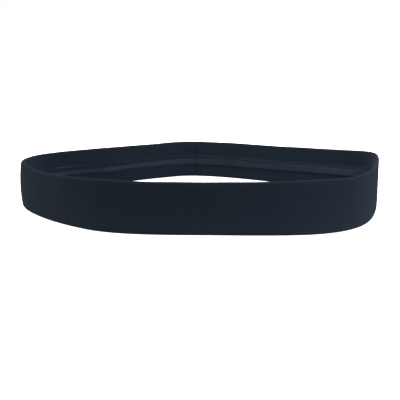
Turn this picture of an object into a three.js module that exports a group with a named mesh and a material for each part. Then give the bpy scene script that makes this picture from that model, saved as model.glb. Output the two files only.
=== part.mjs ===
// A slim stretch headband for racket sports, standing on its lower edge with the loop open.
// One strip of knitted cloth is folded round a flat elastic band and lapped on itself inside the loop,
// where a long cover-stitched seam holds it. Both the cloth and the elastic end at the middle of the back,
// where a thread joins them. Millimetres, +Z up, -Y towards the forehead side, +X to the wearer's left.

import * as THREE from 'three';

// The band.
const bandHeight = 20;
const clothThickness = 0.55;
const elasticThickness = 0.8;
const layerGap = 0.15;
const elasticHeight = 16.8;

// The long seam, on the inside of the loop.
const lapBottom = 7.1;
const lapTop = 11.2;
const lapStep = 1.2;
const lapGap = 0.12;
const underEdgeInset = 0.2;
const threadDiameter = 0.32;
const threadClearance = 0.25;
const needleRowInset = 0.2;
const needleGauge = 2.8;
const stitchLength = 2.5;
const looperTurn = 0.5;
const looperInset = 0.5;

// The joint at the middle of the back.
const backGap = 1.4;
const joinAmplitude = 0.2;
const joinPitch = 1.1;
const seamThreadTrim = 1.5;

// How finely the loop is divided.
const loopSteps = 120;
const threadSides = 4;

// Points that steer the middle of the wall, seen from above, clockwise from the bend at the back. A slack
// band is nearly straight between the two soft creases it was packed with, and bends sharply by its joint.
const steering = [
  [-8.5, 71], // the bend at the back
  [10, 66],
  [33, 49.5], // the right-hand back run
  [79, 15], // the right-hand crease
  [87, 8.5],
  [77.5, -23],
  [61.5, -72], // the front
  [11, -68.5],
  [-45.5, -64.5],
  [-86.5, -10.5], // the left-hand crease
  [-83.5, 20],
  [-71, 35.5], // the left-hand back run
  [-16, 67],
];

// The joint is this share of the way from the first of those points to the second.
const jointPlace = 0.34;

const materials = {
  cloth: new THREE.MeshStandardMaterial({ color: 0x1c232c, roughness: 0.9, metalness: 0 }),
  elastic: new THREE.MeshStandardMaterial({ color: 0x14171c, roughness: 0.8, metalness: 0 }),
  thread: new THREE.MeshStandardMaterial({ color: 0x2b323d, roughness: 0.6, metalness: 0 }),
};

// Distances from the middle of the wall, worked out from the layers. Outward is positive.
const clothMiddle = elasticThickness / 2 + layerGap + clothThickness / 2;
const foldCentre = clothMiddle + clothThickness / 2;
const lapMiddle = clothMiddle + clothThickness + lapGap;
const lapFace = lapMiddle + clothThickness / 2;
const seamThreadOffset = -(lapFace + threadClearance + threadDiameter / 2);
const lowerRowHeight = lapBottom + needleRowInset;
const upperRowHeight = lowerRowHeight + needleGauge;

// A closed cubic B-spline, which has no flat spots or dents where its steering points have none.
class SoftLoop extends THREE.Curve {
  getPoint(t) {
    const count = steering.length;
    const place = THREE.MathUtils.euclideanModulo(t, 1) * count + jointPlace;
    const i = Math.floor(place);
    const w = place - i;
    const weights = [(1 - w) ** 3, 3 * w ** 3 - 6 * w ** 2 + 4, -3 * w ** 3 + 3 * w ** 2 + 3 * w + 1, w ** 3];
    const point = new THREE.Vector3();
    weights.forEach((weight, j) => {
      const [x, y] = steering[(i + j - 1 + count) % count];
      point.x += (x * weight) / 6;
      point.y += (y * weight) / 6;
    });
    return point;
  }
}

const loop = new SoftLoop();
loop.arcLengthDivisions = 4000;
const loopLength = loop.getLength();

// The loop from one side of the back joint round to the other, with this much left out at each end.
class LoopRun extends THREE.Curve {
  constructor(trim) {
    super();
    this.start = trim / loopLength;
  }

  share(t) {
    return THREE.MathUtils.lerp(this.start, 1 - this.start, t);
  }

  getPointAt(t) {
    return loop.getPointAt(this.share(t));
  }

  getTangentAt(t) {
    return loop.getTangentAt(this.share(t));
  }
}

// A thread's route: straight from each point to the next.
class Route extends THREE.Curve {
  constructor(points) {
    super();
    this.points = points;
  }

  getPoint(t) {
    const place = THREE.MathUtils.clamp(t, 0, 1) * (this.points.length - 1);
    const i = Math.min(Math.floor(place), this.points.length - 2);
    return this.points[i].clone().lerp(this.points[i + 1], place - i);
  }

  getPointAt(t) {
    return this.getPoint(t);
  }

  getTangentAt(t) {
    return this.getTangent(t);
  }
}

// A point at this distance along the loop from the joint, this far out from the wall's middle, this high.
function placeOnLoop(distance, outward, height) {
  const share = THREE.MathUtils.euclideanModulo(distance / loopLength, 1);
  const middle = loop.getPointAt(share);
  const along = loop.getTangentAt(share);
  return new THREE.Vector3(middle.x - along.y * outward, middle.y + along.x * outward, height);
}

// A section's point: how far out from the wall's middle, and how high. An extrusion along the level loop
// lays a shape's x downwards and its y outwards.
function sectionPoint([outward, height]) {
  return new THREE.Vector2(-height, outward);
}

// The outline of a sheet of this thickness whose middle follows these points.
function thicken(middle, thickness) {
  const left = [];
  const right = [];
  middle.forEach((point, i) => {
    const before = middle[Math.max(i - 1, 0)];
    const after = middle[Math.min(i + 1, middle.length - 1)];
    const arriving = i > 0 ? unit(before, point) : unit(point, after);
    const leaving = i < middle.length - 1 ? unit(point, after) : arriving;
    const across = [-(arriving[1] + leaving[1]), arriving[0] + leaving[0]];
    const reach = thickness / (1 + arriving[0] * leaving[0] + arriving[1] * leaving[1]) / 2;
    left.push([point[0] + across[0] * reach, point[1] + across[1] * reach]);
    right.push([point[0] - across[0] * reach, point[1] - across[1] * reach]);
  });
  return [...left, ...right.reverse()];
}

function unit(from, to) {
  const length = Math.hypot(to[0] - from[0], to[1] - from[1]);
  return [(to[0] - from[0]) / length, (to[1] - from[1]) / length];
}

// A half-turn fold of the cloth's middle, with a flat facet at its crown for the band to stand on.
function fold(centreHeight, startAngle) {
  const facets = 4;
  const turn = Math.PI / facets;
  const reach = clothMiddle / Math.cos(turn / 2);
  const points = [];
  for (let i = 0; i < facets; i += 1) {
    const angle = startAngle + (i + 0.5) * turn;
    points.push([Math.cos(angle) * reach, centreHeight + Math.sin(angle) * reach]);
  }
  return points;
}

// The cloth's middle, once round the section: up from under the lap's top edge it goes down the inside,
// round the lower fold, up the outside, round the upper fold, and down over its own beginning.
function clothMiddleLine() {
  return [
    [-clothMiddle, lapTop - underEdgeInset],
    ...fold(foldCentre, Math.PI),
    ...fold(bandHeight - foldCentre, 0),
    [-clothMiddle, lapTop + lapStep],
    [-lapMiddle, lapTop],
    [-lapMiddle, lapBottom],
  ];
}

function extrudeSection(section, path, steps, name, material) {
  const shape = new THREE.Shape(section);
  const geometry = new THREE.ExtrudeGeometry(shape, { steps, extrudePath: path, bevelEnabled: false });
  const mesh = new THREE.Mesh(geometry, material);
  mesh.name = name;
  return mesh;
}

// The cloth cover, from one side of the back joint to the other.
function coverCloth() {
  const section = thicken(clothMiddleLine(), clothThickness).map(sectionPoint);
  return extrudeSection(section, new LoopRun(backGap / 2), loopSteps, 'cover_cloth', materials.cloth);
}

// The flat elastic inside it.
function elasticCore() {
  const side = elasticThickness / 2;
  const bottom = (bandHeight - elasticHeight) / 2;
  const top = bandHeight - bottom;
  const section = [[-side, bottom], [side, bottom], [side, top], [-side, top]].map(sectionPoint);
  return extrudeSection(section, new LoopRun(backGap / 2), loopSteps, 'elastic_core', materials.elastic);
}

// Up the middle of the elastic, just short of its edges.
function elasticMiddleLine() {
  const reach = elasticHeight / 2 - threadDiameter;
  return [[0, bandHeight / 2 - reach], [0, bandHeight / 2 + reach]];
}

function threadSection() {
  const corners = [];
  for (let i = 0; i < threadSides; i += 1) {
    const angle = ((i + 0.5) / threadSides) * Math.PI * 2;
    const radius = threadDiameter / 2;
    corners.push(new THREE.Vector2(Math.cos(angle) * radius, Math.sin(angle) * radius));
  }
  return corners;
}

function thread(points, name) {
  return extrudeSection(threadSection(), new Route(points), points.length - 1, name, materials.thread);
}

// A needle thread runs straight along one side of the lap.
function needleThread(height, name) {
  const points = [];
  for (let i = 0; i <= loopSteps; i += 1) {
    const distance = THREE.MathUtils.lerp(seamThreadTrim, loopLength - seamThreadTrim, i / loopSteps);
    points.push(placeOnLoop(distance, seamThreadOffset, height));
  }
  return thread(points, name);
}

// The looper thread swings across and back once a stitch, with a short run beside each needle row.
function looperThread() {
  const swing = stitchLength / 2;
  const swings = Math.floor((loopLength - 2 * seamThreadTrim) / swing);
  const points = [];
  for (let i = 0; i < swings; i += 1) {
    const height = i % 2 === 0 ? lowerRowHeight + looperInset : upperRowHeight - looperInset;
    const begin = seamThreadTrim + i * swing;
    points.push(placeOnLoop(begin, seamThreadOffset, height));
    points.push(placeOnLoop(begin + looperTurn, seamThreadOffset, height));
  }
  return thread(points, 'seam_looper_thread');
}

// A joining thread zigzags across the back gap while it follows this line round or up the section.
function joiningThread(line, name) {
  const points = [];
  let side = 1;
  for (let i = 1; i < line.length; i += 1) {
    const [from, to] = [line[i - 1], line[i]];
    const count = Math.max(1, Math.round(Math.hypot(to[0] - from[0], to[1] - from[1]) / joinPitch));
    for (let j = 0; j < count; j += 1) {
      const share = j / count;
      const outward = THREE.MathUtils.lerp(from[0], to[0], share);
      const height = THREE.MathUtils.lerp(from[1], to[1], share);
      points.push(placeOnLoop(side * joinAmplitude, outward, height));
      side = -side;
    }
  }
  return thread(points, name);
}

const group = new THREE.Group();
const cover = coverCloth();
group.add(
  cover,
  elasticCore(),
  needleThread(upperRowHeight, 'seam_needle_thread_upper'),
  needleThread(lowerRowHeight, 'seam_needle_thread_lower'),
  looperThread(),
  joiningThread(clothMiddleLine(), 'back_seam_thread'),
  joiningThread(elasticMiddleLine(), 'core_join_thread'),
);

// The origin is under the middle of the band, on the surface it stands on.
cover.geometry.computeBoundingBox();
const centre = cover.geometry.boundingBox.getCenter(new THREE.Vector3());
group.position.set(-centre.x, -centre.y, 0);

export default group;
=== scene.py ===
"""The looks of a slim stretch headband, standing on its lower edge with the loop open.

One strip of fine rib knit is folded round a flat elastic band and lapped on itself inside the loop, where
two rows of needle thread and a looper thread hold the lap down. A joint closes the loop at the middle of
the back. Every piece follows the wall's middle, which is worked out from the elastic core in the frame.
Left and right are as the camera sees them, from the front.
"""

import math

import bmesh
import bpy
import numpy as np
from mathutils import Matrix, Vector


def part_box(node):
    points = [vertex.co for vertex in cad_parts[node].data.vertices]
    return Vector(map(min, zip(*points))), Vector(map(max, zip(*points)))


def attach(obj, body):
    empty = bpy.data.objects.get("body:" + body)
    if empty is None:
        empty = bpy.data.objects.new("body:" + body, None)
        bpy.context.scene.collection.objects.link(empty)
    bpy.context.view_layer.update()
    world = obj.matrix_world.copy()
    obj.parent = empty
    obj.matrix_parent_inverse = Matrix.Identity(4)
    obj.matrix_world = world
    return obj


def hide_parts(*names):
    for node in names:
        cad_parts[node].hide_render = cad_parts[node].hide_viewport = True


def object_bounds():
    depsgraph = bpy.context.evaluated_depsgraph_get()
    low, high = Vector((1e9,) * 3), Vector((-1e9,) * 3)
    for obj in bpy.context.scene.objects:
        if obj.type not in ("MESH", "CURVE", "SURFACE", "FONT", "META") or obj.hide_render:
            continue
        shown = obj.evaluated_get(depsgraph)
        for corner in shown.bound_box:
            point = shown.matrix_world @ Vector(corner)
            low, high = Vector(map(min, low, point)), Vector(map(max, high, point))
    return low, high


mm = 0.001

# The layers of the wall, as in the CAD.
core_thickness = 0.8 * mm
layer_gap = 0.15 * mm
lap_gap = 0.12 * mm
cloth_thickness = 0.55 * mm
cloth_middle = core_thickness / 2 + layer_gap + cloth_thickness / 2  # from the middle of the wall
lap_middle = cloth_middle + cloth_thickness + lap_gap  # from the middle of the wall
fold_centre = cloth_middle + cloth_thickness / 2  # in from the band's upper and lower edges

# The knit.
rib_pitch = 0.6 * mm
rib_depth = 0.012 * mm
columns_per_rib = 2
wall_crown = 0.12 * mm  # how far each face swells between the two folds

# The lapped seam, on the inside of the loop.
lap_bottom = 7.1 * mm
lap_top = 11.2 * mm
lap_step_top = lap_top + 1.2 * mm
under_edge = lap_top - 0.2 * mm  # the cloth's hidden edge, under the lap
stitch_length = 2.5 * mm
pucker_depth = 0.05 * mm
pucker_reach = 0.4 * mm  # above and below each needle row
band_height_over_lap = 0.30 * mm
band_edge = 0.35 * mm  # how softly the stitched band begins and ends
ridge_height = 0.20 * mm
ridge_top = 12.2 * mm  # the ridge over the hidden edge spreads downwards from here
seam_thread_trim = 0.3 * mm

# The stations of the cloth's section: their heights where it runs straight up or down, how many there are
# round each fold, how far down the lap's step each is, and how many there are down the lap's flat.
under_lap_heights = (under_edge, 9.5 * mm, lap_bottom + 0.1 * mm)
below_lap_heights = (lap_bottom, 6.0 * mm, 4.2 * mm, 2.4 * mm)
outside_heights = (3.0 * mm, 6.0 * mm, 10.0 * mm, 14.0 * mm, 17.0 * mm)
above_lap_heights = (17.6 * mm, 15.8 * mm, 14.2 * mm, 13.1 * mm)
fold_stations = 7
lap_step_shares = (0.15, 0.5, 0.85)
lap_flat_stations = 13
lap_stations = len(lap_step_shares) + lap_flat_stations

# The joint at the middle of the back.
joint_groove_depth = 0.08 * mm
joint_groove_at_folds = 0.04 * mm
joint_groove_width = 1.6 * mm
joint_slit_depth = 0.03 * mm
joint_slit_width = 0.5 * mm
joint_flattening = 0.4  # the share of the ridge's and the band's relief that the groove takes away
# The painted shade along the joint's groove: how far it reaches, how dark it makes the cloth, and how much
# of the lap it dims.
joint_shade_reach = 1.4 * mm
joint_painted_shade = 0.2
joint_shade_on_lap = 0.25  # the share of the lap's paleness that the joint's painted shade takes away

# The threads.
needle_thread_width = 0.26 * mm
needle_lift = 0.75 * needle_thread_width  # how far a stitch rises from its ends to its middle
needle_sink = 0.45 * needle_thread_width  # how deep its ends are
looper_thread_width = 0.52 * mm
looper_thread_thickness = 0.20 * mm
looper_clearance = 0.02 * mm  # from the lap's face to the middle of the thread
looper_reach = 1.15 * mm
looper_rise = 0.3 * mm
looper_swings = 2
looper_squareness = 1.2
joining_thread_width = 0.24 * mm
joining_pitch = 1.1 * mm
joining_swing = 0.26 * mm
joining_thread_sink = 0.06 * mm

# The elastic inside.
elastic_thickness = 0.7 * mm  # across its cords' crowns
elastic_cord_pitch = 1.2 * mm
elastic_cord_depth = 0.06 * mm
stations_per_cord = 4
elastic_step = 1.5 * mm  # from one section to the next, round the loop

# How the wall strays from its true line and height. A place is (millimetres from the joint, how far it
# spreads), and a wave is (how many round the loop, how big, where it starts).
left_crease = (-120, 30)
right_crease = (112, 16)
left_front_corner = (-199, 17)
right_front_corner = (203, 20)
crease_bow = 0.65 * mm  # outwards at the left crease
crease_bow_height = 0.4  # where it is greatest, as a share of the band's height
crease_flare = 0.40 * mm  # outwards at the top of the right crease
corner_splay = 1.1 * mm  # outwards at the bottom of the front corners
lean_waves = [(5, 0.10 * mm, 0.4), (9, 0.08 * mm, 2.1), (17, 0.05 * mm, 4.0)]
usual_stretch = 1.008  # the cloth stands a little taller than the CAD
stretch_waves = [(1, 0.008, np.pi / 2), (4, 0.002, 1.0), (11, 0.0015, 3.0), (23, 0.0012, 0.5)]

# Where the band is taller than usual, or shorter: a place, then the share of its height.
swells = [
    (-193, 15, 0.018),
    (-187, 2.2, -0.014),  # a small nick in the front fold
    (-118, 15, 0.018),
    (-12, 18, 0.008),
    (46, 16, -0.010),
    (100, 12, 0.012),
    (198, 16, 0.018),
]

# How much paler than usual the cloth is in places, from the paler stitched band and from painted light and
# shade. The gain turns that into a shift along a colour ramp.
paleness_gain = 0.58
# A painted highlight along the upward-facing crowns of the folds.
fold_painted_highlight = 0.3
weak_fold_highlight_place = (0, 90)  # the painted highlight on the folds is half as strong at this place
foot_painted_light = 0.5  # painted light bounced from the floor, at the bottom of the outside
foot_top = 0.6  # where that painted light ends, as a share of the band's height
outside_painted_shade = 0.1  # painted shade, at the top of the outside
weak_foot_light_place = (-156, 25)  # both of those painted marks are half as much at this place
below_lap_fade = (6.6 * mm, 7.4 * mm)  # the painted light below the lap dies away between these heights

# How the seam and the cloth change round the loop. The amounts were set by comparing measured
# brightness in renders and in the view. Each list runs clockwise from above, from the middle of the front
# and back to it: (millimetres from the joint, amount).

# The stitched band's lower and upper edges, in millimetres up.
band_bottom = [
    (-236, 7.65), (-68, 7.65), (-60, 7.25), (-52, 7.15), (-46, 7.5), (-40, 7.65), (-36, 7.65), (-12, 7.35),
    (34, 7.3), (46, 7.5), (60, 7.65), (236, 7.65),
]
band_top = [
    (-236, 10.4), (-84, 9.7), (-66, 9.0), (-60, 8.95), (-54, 9.4), (-50, 9.5), (-36, 10.1), (0, 10.4),
    (26, 10.6), (36, 10.3), (46, 10.2), (60, 10.6), (236, 10.4),
]

# How pale that band is: paler thread-covered cloth, with a painted highlight on its crest that changes round
# the loop.
band_paleness_and_highlight = [
    (-236, 0.9), (-84, 0.9), (-72, 0.65), (-60, 0.75), (-54, 1.05), (-48, 0.9), (-24, 0.85), (-8, 1.1),
    (6, 1.0), (12, 0.9), (20, 0.65), (34, 0.8), (46, 0.95), (58, 0.82), (70, 1.0), (82, 1.2), (94, 1.25),
    (102, 0.7), (120, 0.7), (236, 0.9),
]

# The painted highlight on the ridge above it, and how many millimetres the ridge spreads.
ridge_painted_highlight = [
    (-236, 0.3), (-100, 0.1), (-91, 0.3), (-84, 1.7), (-74, 0.5), (-60, 0.05), (-48, 0.2), (10, 0.2),
    (20, 0.15), (32, 0.3), (42, 0.5), (54, 0.4), (66, 0.3), (84, 0.35), (110, 0.35), (236, 0.3),
]
ridge_spread = [(-236, 0.4), (-84, 0.3), (-60, 0.45), (10, 0.45), (40, 0.9), (110, 0.9), (236, 0.4)]

# Painted light and shade round the loop: how much paler than usual the whole cloth is made, and how much
# more than that below the lap, on the inside.
painted_light_round_loop = [
    (-236, -0.06), (-216, -0.15), (-200, -0.15), (-170, -0.10), (-132, -0.25), (-106, -0.11),
    (-84, -0.26), (-60, -0.20), (-40, -0.08), (-20, 0.0), (-8, 0.18), (6, 0.25), (16, 0.16), (28, 0.17),
    (66, 0.24), (94, 0.28), (105, 0.23), (135, 0.17), (170, 0.15), (203, 0.17), (222, 0.02), (236, -0.06),
]
painted_light_below_lap = [
    (-236, 0.0), (-36, 0.05), (-12, 0.32), (0, 0.32), (12, 0.15), (32, -0.05), (46, -0.03), (66, 0.1),
    (236, 0.0),
]

# Colours: (place along the ramp, red, green, blue).
knit_colours = [
    (0.00, 0.0025, 0.0039, 0.0057),
    (0.13, 0.0039, 0.0060, 0.0087),
    (0.63, 0.0065, 0.0097, 0.0140),
    (0.88, 0.0114, 0.0150, 0.0224),
    (1.00, 0.0140, 0.0182, 0.0268),
]
elastic_colours = [
    (0.00, 0.0060, 0.0070, 0.0090),
    (1.00, 0.0180, 0.0200, 0.0240),
]
seam_thread_colours = [
    (0.10, 0.0039, 0.0060, 0.0090),
    (0.85, 0.0116, 0.0153, 0.0228),
    (1.00, 0.0150, 0.0194, 0.0286),
]
joining_thread_colours = [
    (0.10, 0.0054, 0.0079, 0.0117),
    (1.00, 0.0110, 0.0148, 0.0218),
]

# The camera. A fit of the loop's outline to the view gave its place and angles, for a lens that was chosen
# and not found. Its lens and film are in millimetres, and its angles are in degrees.
camera_place = (-0.16 * mm, -283.67 * mm, 57.75 * mm)
camera_lens = 54.03
camera_film = 36
camera_turn = -0.028
camera_dip = 11.617
camera_roll = -0.91

# The floor and the lights.
floor_reach = 3.0
floor_glow = 0.8
soft_box_size = 0.6


# ---------------------------------------------------------------- the frame

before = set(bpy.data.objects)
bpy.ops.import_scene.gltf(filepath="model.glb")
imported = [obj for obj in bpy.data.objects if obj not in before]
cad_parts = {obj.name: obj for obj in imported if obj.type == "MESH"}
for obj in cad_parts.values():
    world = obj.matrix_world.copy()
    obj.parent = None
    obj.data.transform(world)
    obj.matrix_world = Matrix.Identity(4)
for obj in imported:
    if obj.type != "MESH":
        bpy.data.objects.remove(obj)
cad_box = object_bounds()
band_height = cad_box[1].z - cad_box[0].z


def wall_middle_points(core):
    """The middle of the wall as the elastic core gives it: clockwise from above, starting at the joint."""
    # The corners of the elastic's top edge, each once.
    corners = np.array([tuple(vertex.co) for vertex in core.data.vertices])
    top = corners[corners[:, 2] > corners[:, 2].max() - 0.1 * mm, :2]
    top = np.unique(np.round(top, 7), axis=0)

    # Each corner's nearest neighbour is the one across the elastic from it.
    gaps = np.linalg.norm(top[:, None] - top[None], axis=2)
    np.fill_diagonal(gaps, np.inf)
    middle = (top + top[gaps.argmin(axis=1)]) / 2
    middle = np.unique(np.round(middle, 6), axis=0)
    middle = middle[np.argsort(-np.arctan2(middle[:, 1], middle[:, 0]))]

    # The shortest step is the one across the joint.
    steps = np.linalg.norm(np.roll(middle, -1, axis=0) - middle, axis=1)
    middle = np.roll(middle, -steps.argmin() - 1, axis=0)
    joint = (middle[0] + middle[-1]) / 2
    return np.vstack([joint, middle])


def unit(vectors):
    return vectors / np.linalg.norm(vectors, axis=-1, keepdims=True)


class Loop:
    """The closed line down the middle of the wall, read by distance clockwise from the joint. Each step from
    one point to the next is a cubic that leaves and arrives along the slopes at its two ends."""

    def __init__(self, points):
        steps = np.linalg.norm(np.roll(points, -1, axis=0) - points, axis=1)
        before = np.roll(steps, 1)
        self.length = steps.sum()
        self.slopes = (np.roll(points, -1, axis=0) - np.roll(points, 1, axis=0)) / (steps + before)[:, None]
        self.points = points
        self.steps = steps
        self.knots = np.cumsum(steps) - steps

    def at(self, distance):
        """The middle's place, and the way outwards from it, at each distance."""
        here = np.mod(distance, self.length)
        i = np.searchsorted(self.knots, here, side="right") - 1
        j = (i + 1) % len(self.points)
        step = self.steps[i][..., None]
        t = (here - self.knots[i])[..., None] / step
        start, end = self.points[i], self.points[j]
        leaving, arriving = self.slopes[i] * step, self.slopes[j] * step
        middle = (
            (2 * t**3 - 3 * t**2 + 1) * start
            + (t**3 - 2 * t**2 + t) * leaving
            + (3 * t**2 - 2 * t**3) * end
            + (t**3 - t**2) * arriving
        )
        along = unit(
            (6 * t**2 - 6 * t) * (start - end)
            + (3 * t**2 - 4 * t + 1) * leaving
            + (3 * t**2 - 2 * t) * arriving
        )
        outward = np.stack([-along[..., 1], along[..., 0]], axis=-1)
        return middle, outward

    def place(self, distance, outward, height):
        """Points at these distances round the loop, this far out from the wall's middle, this high."""
        distance, outward, height = np.broadcast_arrays(distance, outward, height)
        middle, way = self.at(distance)
        flat = middle + way * outward[..., None]
        return np.concatenate([flat, height[..., None]], axis=-1)

    def outward(self, distance):
        """The level way outwards from the wall at each distance."""
        way = self.at(distance)[1]
        return np.concatenate([way, np.zeros_like(way[..., :1])], axis=-1)

    def along(self, distance):
        """The level way along the wall at each distance, clockwise from above."""
        out = self.outward(distance)
        return np.stack([out[..., 1], -out[..., 0], out[..., 2]], axis=-1)


def row_height(node):
    low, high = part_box(node)
    return (low.z + high.z) / 2


loop = Loop(wall_middle_points(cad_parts["elastic_core"]))
rib_count = round(loop.length / rib_pitch)
seam_length = loop.length - 2 * seam_thread_trim
stitch_count = round(seam_length / stitch_length)
upper_row = row_height("seam_needle_thread_upper")
lower_row = row_height("seam_needle_thread_lower")


# ---------------------------------------------------------------- reading places round the loop


def bump(value, centre, width):
    """1 at the centre, falling to 0 on both sides of it."""
    return np.exp(-(((value - centre) / width) ** 2))


def rise(value, start, end):
    """0 before start, 1 after end, and smooth between them."""
    share = np.clip((value - start) / (end - start), 0, 1)
    return share**2 * (3 - 2 * share)


def from_joint(distance):
    """Distance from the joint, the shorter way round: negative on the left of the loop."""
    return (distance + loop.length / 2) % loop.length - loop.length / 2


def near(distance, centre, width):
    """1 at this many millimetres from the joint, falling to 0 on both sides of it."""
    return bump(from_joint(distance), centre * mm, width * mm)


def round_loop(distance, amounts):
    """Read a list of (millimetres from the joint, amount) at each distance."""
    places, values = zip(*amounts)
    return np.interp(from_joint(distance) / mm, places, values)


def ripple(distance, waves):
    """A slow wander round the loop."""
    turn = 2 * np.pi * distance / loop.length
    return sum(size * np.sin(count * turn + start) for count, size, start in waves)


# ---------------------------------------------------------------- the wall's small unevenness


def wall_sway(distance, height):
    """How far the wall strays outwards from its line."""
    up = height / band_height
    lean = ripple(distance, lean_waves) * (2 * up - 1)
    bow = crease_bow * near(distance, *left_crease) * (1 - (2 * (up - crease_bow_height)) ** 2)
    flare = crease_flare * near(distance, *right_crease) * up**2
    corners = near(distance, *left_front_corner) + near(distance, *right_front_corner)
    splay = corner_splay * corners * (1 - up) ** 2
    return lean + bow + flare + splay


def stretch(distance):
    """What every height here is multiplied by. The band rests on its lower edge, which stays down."""
    swelling = sum(taller * near(distance, centre, width) for centre, width, taller in swells)
    return usual_stretch + ripple(distance, stretch_waves) + swelling


def joint_pinch(distance):
    """1 in the groove of the joint, falling to 0 on both sides of it."""
    return bump(from_joint(distance), 0, joint_groove_width / 2)


def joint_shade(distance):
    """1 at the joint, falling to 0 beyond the cloth that its stitching draws in."""
    return bump(from_joint(distance), 0, joint_shade_reach)


# ---------------------------------------------------------------- the lap


def stitched_band(distance, height):
    """1 in the middle of the band that the stitching covers, falling to 0 at its two edges."""
    bottom = round_loop(distance, band_bottom) * mm
    top = round_loop(distance, band_top) * mm
    above_bottom = rise(height, bottom - band_edge, bottom + band_edge)
    above_top = rise(height, top - band_edge, top + band_edge)
    return above_bottom * (1 - above_top)


def hidden_edge_ridge(distance, height):
    """1 along the crest that the edge hidden under the lap makes, falling to 0 above and below it."""
    spread = round_loop(distance, ridge_spread) * mm
    return bump(height, ridge_top - spread, spread)


def lap_paleness_and_highlight(distance, height):
    """How pale the lap's crests are: the paler stitched band, with painted highlights on the band's and the
    ridge's crests. 0 is plain cloth.
    """
    band = round_loop(distance, band_paleness_and_highlight) * stitched_band(distance, height)
    ridge = round_loop(distance, ridge_painted_highlight) * hidden_edge_ridge(distance, height)
    return (band + ridge) * (1 - joint_shade_on_lap * joint_shade(distance))


def stitches_along(distance):
    """How many stitches there are from the start of the seam to here."""
    return (distance - seam_thread_trim) / seam_length * stitch_count


def lap_relief(distance, height):
    """How far the lap stands inwards beyond its flat: a rolled ridge over the hidden edge, and a band with
    a flat top between the needle rows, puckered where each needle went in."""
    ridge = ridge_height * hidden_edge_ridge(distance, height)
    band = band_height_over_lap * stitched_band(distance, height)
    stitch = 0.5 + 0.5 * np.cos(2 * np.pi * stitches_along(distance))
    rows = bump(height, lower_row, pucker_reach) + bump(height, upper_row, pucker_reach)
    standing = (ridge + band) * (1 - joint_flattening * joint_pinch(distance))
    return standing - pucker_depth * rows * stitch**2


def lap_face(distance, height):
    """Where the lap's visible face is, out from the wall's middle."""
    flat = lap_middle + cloth_thickness / 2
    return wall_sway(distance, height) - flat - lap_relief(distance, height)


# ---------------------------------------------------------------- meshes


def distance_along(points):
    """How far along a line each of its points is."""
    return np.append(0, np.cumsum(np.linalg.norm(np.diff(points, axis=0), axis=1)))


def add_piece(name, points, faces, uvs, material, attributes=()):
    """An object with smooth faces and one UV map, given for each face's corners."""
    mesh = bpy.data.meshes.new(name)
    mesh.from_pydata(points.reshape(-1, 3).tolist(), [], faces.tolist())
    layer = mesh.uv_layers.new(name="Cloth")
    layer.data.foreach_set("uv", np.asarray(uvs, np.float32).ravel())
    for key, values in attributes:
        attribute = mesh.attributes.new(key, "FLOAT", "POINT")
        attribute.data.foreach_set("value", np.asarray(values, np.float32).ravel())
    mesh.polygons.foreach_set("use_smooth", np.ones(len(mesh.polygons), bool))
    mesh.materials.append(material)
    piece = bpy.data.objects.new(name, mesh)
    bpy.context.scene.collection.objects.link(piece)
    return piece


def grid_faces(rows, columns, close_rows):
    """Four-sided faces of a grid whose columns close on themselves, and its rows too if close_rows is set.
    Returns the faces and each corner's row and column, which count past the end where the grid closes."""
    last = rows if close_rows else rows - 1
    row, column = np.meshgrid(np.arange(last), np.arange(columns), indexing="ij")
    corner_rows = np.stack([row, row + 1, row + 1, row], axis=-1).reshape(-1, 4)
    corner_columns = np.stack([column, column, column + 1, column + 1], axis=-1).reshape(-1, 4)
    faces = (corner_rows % rows) * columns + corner_columns % columns
    return faces, corner_rows, corner_columns


def ring_piece(name, points, along, across, material, attributes=()):
    """A closed ring: points[i, j] is the j-th point of the i-th section. along and across give its UVs."""
    rows, columns = points.shape[:2]
    faces, corner_rows, corner_columns = grid_faces(rows, columns, True)
    along = np.append(along, 2 * along[-1] - along[-2])
    across = np.append(across, across[0])
    uvs = np.stack([along[corner_rows], across[corner_columns]], axis=-1)
    return add_piece(name, points, faces, uvs, material, attributes)


def tube_piece(name, line, thin_way, width, thickness, material, pale=0.0, sides=6):
    """A thread along a line of points, closed at both ends, and thinnest in about the given directions."""
    along = unit(np.gradient(line, axis=0))
    thin = unit(thin_way - along * np.sum(thin_way * along, axis=1, keepdims=True))
    wide = np.cross(along, thin)
    turn = 2 * np.pi * np.arange(sides)[:, None] / sides
    ring = np.cos(turn) * wide[:, None] * width / 2 + np.sin(turn) * thin[:, None] * thickness / 2
    points = line[:, None] + ring
    faces, corner_rows, corner_columns = grid_faces(len(line), sides, False)
    widths_along = distance_along(line) / width
    uvs = np.stack([widths_along[corner_rows], corner_columns / sides], axis=-1)
    pale = np.repeat(np.broadcast_to(pale, len(line)), sides)
    piece = add_piece(name, points, faces, uvs, material, [("pale", pale)])
    close_ends(piece)
    return piece


def close_ends(piece):
    """Fill the two open ends of a tube, and turn all its faces outwards."""
    work = bmesh.new()
    work.from_mesh(piece.data)
    bmesh.ops.holes_fill(work, edges=[edge for edge in work.edges if edge.is_boundary], sides=0)
    bmesh.ops.recalc_face_normals(work, faces=work.faces)
    work.to_mesh(piece.data)
    work.free()


# ---------------------------------------------------------------- the knitted cover


def fold(centre_height, start_angle):
    """The cloth's middle round a fold: half a turn from this angle."""
    angles = start_angle + np.pi * (np.arange(fold_stations) + 0.5) / fold_stations
    return [(math.cos(a) * cloth_middle, centre_height + math.sin(a) * cloth_middle) for a in angles]


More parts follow.
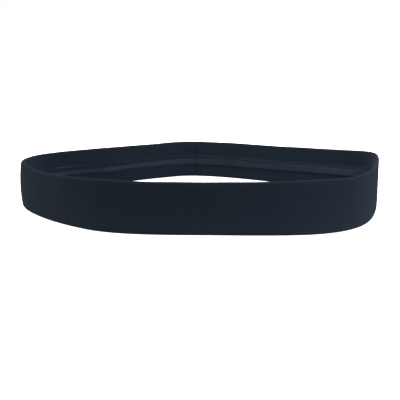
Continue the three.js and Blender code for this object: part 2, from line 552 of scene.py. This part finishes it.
def cloth_middle_line():
    """The cloth's middle once round the section, from under the lap's top edge down the inside, round the
    lower fold, up the outside, round the upper fold, and down over its own beginning."""
    under_lap = [(-cloth_middle, height) for height in under_lap_heights]
    below_lap = [(-cloth_middle, height) for height in below_lap_heights]
    lower_fold = fold(fold_centre, math.pi)
    outside = [(cloth_middle, height) for height in outside_heights]
    upper_fold = fold(band_height - fold_centre, 0)
    above_lap = [(-cloth_middle, height) for height in above_lap_heights]
    step = []
    for share in lap_step_shares:
        inward = cloth_middle + (lap_middle - cloth_middle) * rise(share, 0, 1)
        step.append((-inward, lap_step_top - (lap_step_top - lap_top) * share))
    lap = [(-lap_middle, height) for height in np.linspace(lap_top, lap_bottom, lap_flat_stations)]
    return np.array(under_lap + below_lap + lower_fold + outside + upper_fold + above_lap + step + lap)


def cover_section():
    """The cloth's middle line, the way its visible face looks, and the distance along it from its start."""
    middle = cloth_middle_line()
    heading = unit(np.gradient(middle, axis=0))
    face_way = np.stack([heading[:, 1], -heading[:, 0]], axis=1)
    return middle, face_way, distance_along(middle)


def cover_place(distance, flat, face_way, visible, on_lap):
    """Where points of the cloth go: flat is a point of the plain section, and face_way looks out of the
    cloth there. visible is 1 on the visible face and 0 inside; on_lap is 1 on the lap and 0 elsewhere."""
    height = flat[..., 1]
    rib = rib_depth * (np.cos(2 * np.pi * distance / loop.length * rib_count) - 1)
    crown = wall_crown * (1 - ((height - band_height / 2) / (band_height / 2)) ** 2)
    on_fold = face_way[..., 1] ** 2
    groove = joint_groove_depth + (joint_groove_at_folds - joint_groove_depth) * on_fold
    slit = joint_slit_depth * bump(from_joint(distance), 0, joint_slit_width / 2)
    proud = visible * (rib + crown * (1 - on_lap) - groove * joint_pinch(distance) - slit)
    outward = flat[..., 0] + wall_sway(distance, height) + proud * face_way[..., 0]
    outward = outward - on_lap * lap_relief(distance, height)
    return loop.place(distance, outward, (height + proud * face_way[..., 1]) * stretch(distance))


def cover_paleness_and_painted_light(distance, height, face_way, on_lap):
    """How much paler than usual the cloth's visible face is, at these heights of the plain section: the
    paler stitched band, painted highlights, painted light and painted shade.
    """
    facing_out, facing_up = face_way[:, 0], face_way[:, 1]
    # Painted highlight on the folds' upward-facing crowns.
    folds = fold_painted_highlight * facing_up**4 * (1 - 0.5 * near(distance, *weak_fold_highlight_place))
    lap = on_lap * lap_paleness_and_highlight(distance, height)
    # Painted light on the inside below the lap, lifting the shade under it.
    below_lap = np.clip(-facing_out, 0, 1) * (1 - rise(height, *below_lap_fade))
    below_lap = below_lap * round_loop(distance, painted_light_below_lap)
    # Painted light from the floor: paler towards the bottom of the outside, darker towards its top.
    up = height / band_height
    foot = foot_painted_light * np.clip(1 - up / foot_top, 0, 1) ** 2 - outside_painted_shade * up
    foot = foot * np.clip(facing_out, 0, 1) * (1 - 0.5 * near(distance, *weak_foot_light_place))
    # Painted shade along the joint's groove.
    joint = -joint_painted_shade * joint_shade(distance)
    return folds + lap + round_loop(distance, painted_light_round_loop) + below_lap + foot + joint


def cover_piece(material):
    """The cloth as one closed ring: out along its visible face to the lap's cut edge, and back inside."""
    middle, face_way, travelled = cover_section()

    # The hidden face never shows, so it has only these of the stations, from the lap's edge back.
    hidden = np.array([45, 40, 36, 32, 29, 26, 23, 20, 16, 13, 11, 8, 6, 2, 0])
    cut_edge = len(middle)
    stations = np.concatenate([np.arange(len(middle)), [len(middle) - 1], hidden])
    side = np.concatenate([np.ones(len(middle)), [0], -np.ones(len(hidden))])
    face_way = face_way[stations]
    flat = middle[stations] + face_way * (side * cloth_thickness / 2)[:, None]
    flat[cut_edge, 1] -= cloth_thickness / 2
    visible = np.clip(side, 0, 1)
    on_lap = (stations >= len(middle) - lap_stations).astype(float)

    columns = rib_count * columns_per_rib
    distance = (np.arange(columns) / columns_per_rib * loop.length / rib_count)[:, None]
    points = cover_place(distance, flat[None], face_way[None], visible, on_lap)
    pale = visible * cover_paleness_and_painted_light(distance, flat[:, 1], face_way, on_lap)
    along = distance[:, 0] / loop.length * rib_count
    across = travelled[stations] / rib_pitch
    return ring_piece("knit_cover", points, along, across, material, [("pale", pale)])


# ---------------------------------------------------------------- the elastic


def elastic_piece(material):
    """A flat band of cords that run round the loop, each a soft swell on both faces."""
    low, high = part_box("elastic_core")
    cords = round((high.z - low.z) / elastic_cord_pitch)
    height = np.linspace(low.z, high.z, cords * stations_per_cord + 1)
    swell = elastic_cord_depth * np.abs(np.sin(np.pi * (height - low.z) / (high.z - low.z) * cords))
    half = elastic_thickness / 2 - elastic_cord_depth + swell
    section_out = np.concatenate([half, -half[::-1]])
    section_up = np.concatenate([height, height[::-1]])
    columns = round(loop.length / elastic_step)
    distance = (np.arange(columns) / columns * loop.length)[:, None]
    outward = section_out[None] + wall_sway(distance, section_up[None])
    points = loop.place(distance, outward, section_up[None] * stretch(distance))
    along = distance[:, 0] / elastic_cord_pitch
    across = section_up / elastic_cord_pitch
    return ring_piece("elastic_band", points, along, across, material)


# ---------------------------------------------------------------- the threads


def seam_distances(per_stitch):
    """Distances along the seam in even steps, with this many steps to a stitch."""
    return np.linspace(seam_thread_trim, loop.length - seam_thread_trim, stitch_count * per_stitch + 1)


def needle_row(name, height, material):
    """A row of straight stitches: each comes up through the cloth, lies along it and dives again."""
    distance = seam_distances(per_stitch=8)
    over = np.abs(np.sin(np.pi * stitches_along(distance))) ** 0.5
    inward = needle_lift * over - needle_sink
    line = loop.place(distance, lap_face(distance, height) - inward, height * stretch(distance))
    pale = lap_paleness_and_highlight(distance, height)
    way = loop.outward(distance)
    return tube_piece(name, line, way, needle_thread_width, needle_thread_width, material, pale)


def looper_row(name, material):
    """A soft, flattened thread that swings across the band and back looper_swings times a stitch."""
    distance = seam_distances(per_stitch=24)
    swing = np.sin(2 * np.pi * looper_swings * stitches_along(distance))
    swing = np.tanh(looper_squareness * swing) / np.tanh(looper_squareness)
    height = (lower_row + upper_row) / 2 + looper_rise + looper_reach * swing
    outward = lap_face(distance, height) - looper_clearance
    line = loop.place(distance, outward, height * stretch(distance))
    pale = lap_paleness_and_highlight(distance, height)
    way = loop.outward(distance)
    return tube_piece(name, line, way, looper_thread_width, looper_thread_thickness, material, pale)


def joining_steps(length):
    """Distances along a joint, four to a stitch, and how far the thread has swung across it at each."""
    reach = np.linspace(0, length, round(length / joining_pitch) * 4 + 1)
    return reach, joining_swing * np.sin(np.pi * reach / joining_pitch)


def joining_thread_piece(name, line, swing, material):
    return tube_piece(name, line, loop.along(swing), joining_thread_width, joining_thread_width, material)


def cover_joining_row(name, material):
    """A thread that zigzags across the joint, all round the section and partly sunk in the visible face."""
    middle, face_way, travelled = cover_section()
    flat = middle + face_way * (cloth_thickness / 2 - joining_thread_sink)
    on_lap = (np.arange(len(middle)) >= len(middle) - lap_stations).astype(float)
    reach, swing = joining_steps(travelled[-1])
    stations = np.column_stack([flat, face_way, on_lap])
    steps = np.column_stack([np.interp(reach, travelled, values) for values in stations.T])
    line = cover_place(swing, steps[:, 0:2], steps[:, 2:4], 1.0, steps[:, 4])
    return joining_thread_piece(name, line, swing, material)


def elastic_joining_row(name, material):
    """The same kind of thread up the middle of the elastic, where its two ends meet."""
    low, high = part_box("elastic_core")
    inset = 2 * joining_thread_width
    reach, swing = joining_steps(high.z - low.z - 2 * inset)
    height = low.z + inset + reach
    line = loop.place(swing, wall_sway(swing, height), height * stretch(swing))
    return joining_thread_piece(name, line, swing, material)


# ---------------------------------------------------------------- materials


def new_material(name, **settings):
    """A material, its node tree and its shader, with these values on the shader's sockets. A name's
    underscores stand for spaces."""
    material = bpy.data.materials.new(name)
    material.use_nodes = True
    shader = material.node_tree.nodes["Principled BSDF"]
    for key, value in settings.items():
        shader.inputs[key.replace("_", " ")].default_value = value
    return material, material.node_tree, shader


def add_node(tree, kind, inputs, **settings):
    """A node with its settings, and its inputs by name or number: each a value or another node's output."""
    node = tree.nodes.new(kind)
    for key, value in settings.items():
        setattr(node, key, value)
    for key, value in inputs.items():
        if isinstance(value, bpy.types.NodeSocket):
            tree.links.new(value, node.inputs[key])
        else:
            node.inputs[key].default_value = value
    return node


def calc(tree, operation, first, second=0.0, third=0.0):
    return add_node(tree, "ShaderNodeMath", {0: first, 1: second, 2: third}, operation=operation).outputs[0]


def read_uv(tree):
    return add_node(tree, "ShaderNodeUVMap", {}, uv_map="Cloth").outputs["UV"]


def split(tree, vector):
    parts = add_node(tree, "ShaderNodeSeparateXYZ", {"Vector": vector})
    return parts.outputs["X"], parts.outputs["Y"]


def add_noise(tree, inputs, **settings):
    return add_node(tree, "ShaderNodeTexNoise", inputs, **settings).outputs["Fac"]


def add_relief(tree, shader, height, strength, depth):
    relief = add_node(tree, "ShaderNodeBump", {"Strength": strength, "Distance": depth, "Height": height})
    tree.links.new(relief.outputs["Normal"], shader.inputs["Normal"])


def add_colours(tree, shader, shade, colours):
    """Colour the shader from a ramp through (place, red, green, blue) stops."""
    node = add_node(tree, "ShaderNodeValToRGB", {"Fac": shade})
    stops = node.color_ramp.elements
    while len(stops) < len(colours):
        stops.new(1.0)
    for stop, (position, *colour) in zip(stops, colours):
        stop.position = position
        stop.color = (*colour, 1)
    tree.links.new(node.outputs["Color"], shader.inputs["Base Color"])


def add_paleness(tree, shade):
    """Shift a shade by how pale the mesh says each point is, its painted light and shade included."""
    pale = add_node(tree, "ShaderNodeAttribute", {}, attribute_name="pale")
    return calc(tree, "MULTIPLY_ADD", pale.outputs["Fac"], paleness_gain, shade)


def knit_material():
    material, tree, shader = new_material(
        "navy_rib_knit",
        Roughness=0.9,
        Specular_IOR_Level=0.0,
        Sheen_Weight=0.012,
        Sheen_Roughness=0.5,
        Sheen_Tint=(0.93, 0.88, 1.0, 1),
    )
    uv = read_uv(tree)
    along, across = split(tree, uv)

    # Each rib is a column of loops: two legs that lean together, one course above another.
    courses_per_rib_pitch = 1.6
    from_rib = calc(tree, "ABSOLUTE", calc(tree, "SUBTRACT", calc(tree, "FRACT", along), 0.5))
    rib = calc(tree, "COSINE", calc(tree, "MULTIPLY", along, 2 * math.pi))
    slant = calc(tree, "ADD", calc(tree, "MULTIPLY", across, courses_per_rib_pitch), from_rib)
    course = calc(tree, "SINE", calc(tree, "MULTIPLY", slant, 2 * math.pi))
    fibres = add_noise(tree, {"Vector": uv, "Scale": 9.0, "Detail": 6.0})
    surface = calc(tree, "ADD", calc(tree, "MULTIPLY", course, 0.3), calc(tree, "MULTIPLY", rib, 0.4))
    surface = calc(tree, "ADD", surface, calc(tree, "MULTIPLY", fibres, 0.6))
    add_relief(tree, shader, surface, strength=0.5, depth=0.06 * mm)

    # The tone wanders slowly over the cloth, and a little from one rib to the next.
    patches = add_noise(tree, {"Vector": uv, "Scale": 0.06, "Detail": 6.0, "Roughness": 0.65})
    streaks = add_noise(tree, {"W": along, "Scale": 0.5, "Detail": 2.0}, noise_dimensions="1D")
    streak_depth, patch_depth, fibre_depth = 0.16, 0.25, 0.35
    shade = calc(tree, "MULTIPLY_ADD", streaks, streak_depth, -streak_depth / 2)
    shade = calc(tree, "MULTIPLY_ADD", patches, patch_depth, shade)
    shade = calc(tree, "MULTIPLY_ADD", fibres, fibre_depth, shade)
    add_colours(tree, shader, add_paleness(tree, shade), knit_colours)
    return material


def elastic_material():
    material, tree, shader = new_material("black_elastic", Roughness=0.75, Specular_IOR_Level=0.3)
    weave = {"Vector": read_uv(tree), "Scale": 1.0, "Distortion": 1.5}
    weave = add_node(tree, "ShaderNodeTexWave", weave).outputs["Fac"]
    add_relief(tree, shader, weave, strength=0.6, depth=0.1 * mm)
    add_colours(tree, shader, weave, elastic_colours)
    return material


def thread_material(name, colours):
    """Three plies twisted together, with a painted highlight along their crowns."""
    material, tree, shader = new_material(name, Roughness=0.7, Specular_IOR_Level=0.0, Sheen_Weight=0.012)
    along, across = split(tree, read_uv(tree))
    twist = calc(tree, "ADD", calc(tree, "MULTIPLY", along, 0.5), across)
    plies = 3
    ply = calc(tree, "SINE", calc(tree, "MULTIPLY", twist, plies * 2 * math.pi))
    crown = calc(tree, "ADD", calc(tree, "MULTIPLY", ply, 0.5), 0.5)
    add_relief(tree, shader, crown, strength=0.4, depth=0.05 * mm)
    # The hollows' base shade, and the painted highlight that the crowns add to it.
    hollow_shade, crown_highlight = 0.15, 0.2
    shade = calc(tree, "MULTIPLY_ADD", crown, crown_highlight, hollow_shade)
    add_colours(tree, shader, add_paleness(tree, shade), colours)
    return material


# ---------------------------------------------------------------- camera, floor and light


def make_camera():
    camera = bpy.data.objects.new("camera", bpy.data.cameras.new("camera"))
    camera.data.lens = camera_lens
    camera.data.sensor_width = camera_film
    turn = Matrix.Rotation(math.radians(camera_turn), 4, "Z")
    tilt = Matrix.Rotation(math.radians(90 - camera_dip), 4, "X")
    roll = Matrix.Rotation(math.radians(camera_roll), 4, "Z")
    camera.matrix_world = Matrix.Translation(camera_place) @ turn @ tilt @ roll
    bpy.context.scene.collection.objects.link(camera)
    bpy.context.scene.camera = camera


def make_floor():
    """A wide white sweep that glows a little, so that the band throws almost no shadow on it."""
    material = new_material(
        "floor_white",
        Base_Color=(0.6, 0.6, 0.6, 1),
        Roughness=1.0,
        Specular_IOR_Level=0.0,
        Emission_Color=(1, 1, 1, 1),
        Emission_Strength=floor_glow,
    )[0]
    signs = [(-1, -1), (1, -1), (1, 1), (-1, 1)]
    corners = [(x * floor_reach, y * floor_reach, 0) for x, y in signs]
    mesh = bpy.data.meshes.new("floor")
    mesh.from_pydata(corners, [], [(0, 1, 2, 3)])
    mesh.materials.append(material)
    floor = bpy.data.objects.new("floor", mesh)
    bpy.context.scene.collection.objects.link(floor)


def make_world():
    """White light from every side."""
    world = bpy.data.worlds.new("white_room")
    world.use_nodes = True
    world.node_tree.nodes["Background"].inputs["Color"].default_value = (1, 1, 1, 1)
    world.node_tree.nodes["Background"].inputs["Strength"].default_value = 1.0
    bpy.context.scene.world = world
    bpy.context.scene.view_settings.view_transform = "Standard"


def make_light(name, place, power, colour=(1, 1, 1)):
    """A square soft box that faces the middle of the band."""
    data = bpy.data.lights.new(name, "AREA")
    data.size = soft_box_size
    data.energy = power
    data.color = colour
    light = bpy.data.objects.new(name, data)
    light.location = place
    light.rotation_mode = "QUATERNION"
    light.rotation_quaternion = Vector(place).to_track_quat("Z", "Y")
    bpy.context.scene.collection.objects.link(light)


# ---------------------------------------------------------------- putting it together

make_camera()
make_floor()
make_world()

# The strengths of the lights began as a fit to the view's brightness and were then changed.
make_light("left_top_light", place=(-0.5, 0.0, 0.8), power=19)
make_light("right_top_light", place=(0.5, 0.0, 0.8), power=9)
make_light("right_light", place=(0.9, -0.35, 0.25), power=16, colour=(1, 0.86, 0.96))

knit = knit_material()
elastic = elastic_material()
seam_thread = thread_material("seam_thread", seam_thread_colours)
joining_thread = thread_material("joining_thread", joining_thread_colours)

pieces = [
    (cover_piece(knit), "cover_cloth", "cloth"),
    (elastic_piece(elastic), "elastic_core", "elastic"),
    (needle_row("upper_needle_stitches", upper_row, seam_thread), "seam_needle_thread_upper", "thread"),
    (needle_row("lower_needle_stitches", lower_row, seam_thread), "seam_needle_thread_lower", "thread"),
    (looper_row("looper_stitches", seam_thread), "seam_looper_thread", "thread"),
    (cover_joining_row("back_joint_stitches", joining_thread), "back_seam_thread", "thread"),
    (elastic_joining_row("elastic_joint_stitches", joining_thread), "core_join_thread", "thread"),
]
for piece, node, slot in pieces:
    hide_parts(node)
    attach(piece, "root")
